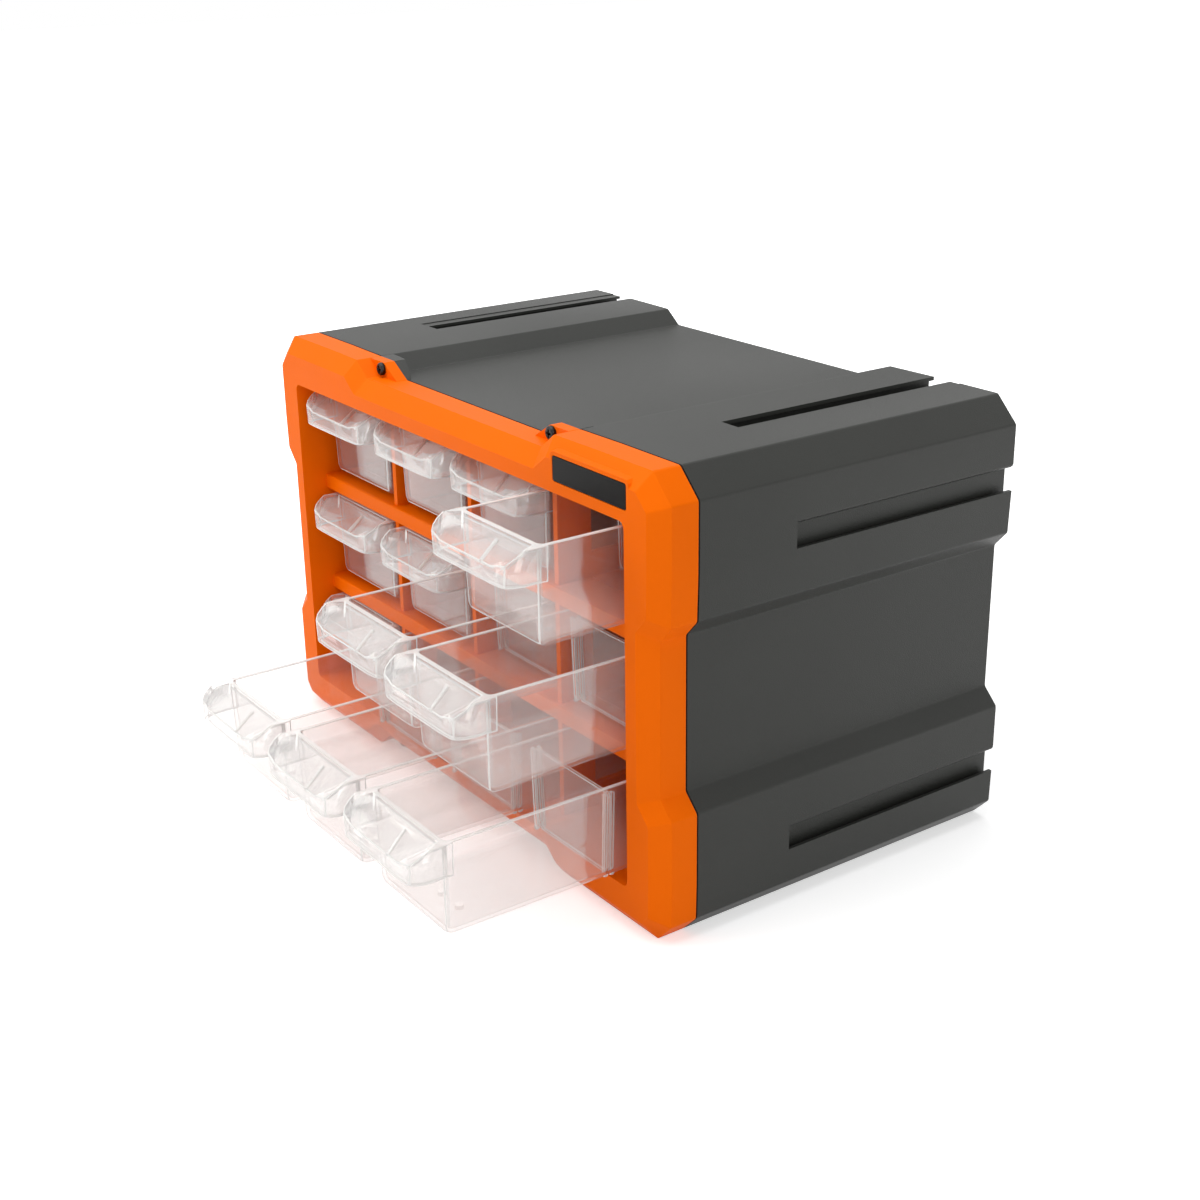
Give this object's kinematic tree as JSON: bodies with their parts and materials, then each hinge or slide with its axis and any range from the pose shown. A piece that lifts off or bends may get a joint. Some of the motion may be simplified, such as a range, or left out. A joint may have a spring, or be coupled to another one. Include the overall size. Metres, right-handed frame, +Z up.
{
  "type": "parts bin cabinet",
  "caption": "Small parts cabinet with a charcoal housing, an orange bezel and frosted slide-out drawers, each with a pull hood and a removable partition.",
  "frame": {"origin": "middle of the base at the height of the feet: mid-width and mid-depth of the cabinet without its drawers' pull-out", "axes": "+X to the right seen from the front, +Y to the back, +Z up; the drawers face -Y and slide out along -Y"},
  "size_m": [0.264, 0.2381, 0.165],
  "materials": {
    "charcoal_plastic": "fine moulded grain, satin",
    "orange_plastic": "fine moulded grain, satin",
    "frosted_plastic": "natural polypropylene, translucent, smooth",
    "badge_black": "bare black plate, semi-gloss",
    "screw_black": "black zinc"
  },
  "bodies": {
    "cabinet": {"housing": "charcoal_plastic", "bezel": "orange_plastic", "badge_plate": "badge_black", "bezel_screws": "screw_black"},
    "bin_r1c1": {"drawer_r1c1": "frosted_plastic", "partition_r1c1": "frosted_plastic"},
    "bin_r1c2": {"drawer_r1c2": "frosted_plastic", "partition_r1c2": "frosted_plastic"},
    "bin_r1c3": {"drawer_r1c3": "frosted_plastic", "partition_r1c3": "frosted_plastic"},
    "bin_r1c4": {"drawer_r1c4": "frosted_plastic", "partition_r1c4": "frosted_plastic"},
    "bin_r2c1": {"drawer_r2c1": "frosted_plastic", "partition_r2c1": "frosted_plastic"},
    "bin_r2c2": {"drawer_r2c2": "frosted_plastic", "partition_r2c2": "frosted_plastic"},
    "bin_r2c3": {"drawer_r2c3": "frosted_plastic", "partition_r2c3": "frosted_plastic"},
    "bin_r2c4": {"drawer_r2c4": "frosted_plastic", "partition_r2c4": "frosted_plastic"},
    "bin_r3c1": {"drawer_r3c1": "frosted_plastic", "partition_r3c1": "frosted_plastic"},
    "bin_r3c2": {"drawer_r3c2": "frosted_plastic", "partition_r3c2": "frosted_plastic"},
    "bin_r3c3": {"drawer_r3c3": "frosted_plastic", "partition_r3c3": "frosted_plastic"},
    "bin_r3c4": {"drawer_r3c4": "frosted_plastic", "partition_r3c4": "frosted_plastic"}
  },
  "joints": [
    {"name": "slide_r1c1", "type": "slide", "parent": "cabinet", "child": "bin_r1c1", "axis": [0, -1, 0], "range_m": [0, 0.1]},
    {"name": "slide_r1c2", "type": "slide", "parent": "cabinet", "child": "bin_r1c2", "axis": [0, -1, 0], "range_m": [0, 0.1]},
    {"name": "slide_r1c3", "type": "slide", "parent": "cabinet", "child": "bin_r1c3", "axis": [0, -1, 0], "range_m": [0, 0.1]},
    {"name": "slide_r1c4", "type": "slide", "parent": "cabinet", "child": "bin_r1c4", "axis": [0, -1, 0], "range_m": [-0.041, 0.059]},
    {"name": "slide_r2c1", "type": "slide", "parent": "cabinet", "child": "bin_r2c1", "axis": [0, -1, 0], "range_m": [0, 0.1]},
    {"name": "slide_r2c2", "type": "slide", "parent": "cabinet", "child": "bin_r2c2", "axis": [0, -1, 0], "range_m": [0, 0.1]},
    {"name": "slide_r2c3", "type": "slide", "parent": "cabinet", "child": "bin_r2c3", "axis": [0, -1, 0], "range_m": [-0.0572, 0.0428]},
    {"name": "slide_r2c4", "type": "slide", "parent": "cabinet", "child": "bin_r2c4", "axis": [0, -1, 0], "range_m": [-0.0615, 0.0385]},
    {"name": "slide_r3c1", "type": "slide", "parent": "cabinet", "child": "bin_r3c1", "axis": [0, -1, 0], "range_m": [0, 0.1]},
    {"name": "slide_r3c2", "type": "slide", "parent": "cabinet", "child": "bin_r3c2", "axis": [0, -1, 0], "range_m": [-0.0798, 0.0202]},
    {"name": "slide_r3c3", "type": "slide", "parent": "cabinet", "child": "bin_r3c3", "axis": [0, -1, 0], "range_m": [-0.0798, 0.0202]},
    {"name": "slide_r3c4", "type": "slide", "parent": "cabinet", "child": "bin_r3c4", "axis": [0, -1, 0], "range_m": [-0.0798, 0.0202]}
  ]
}
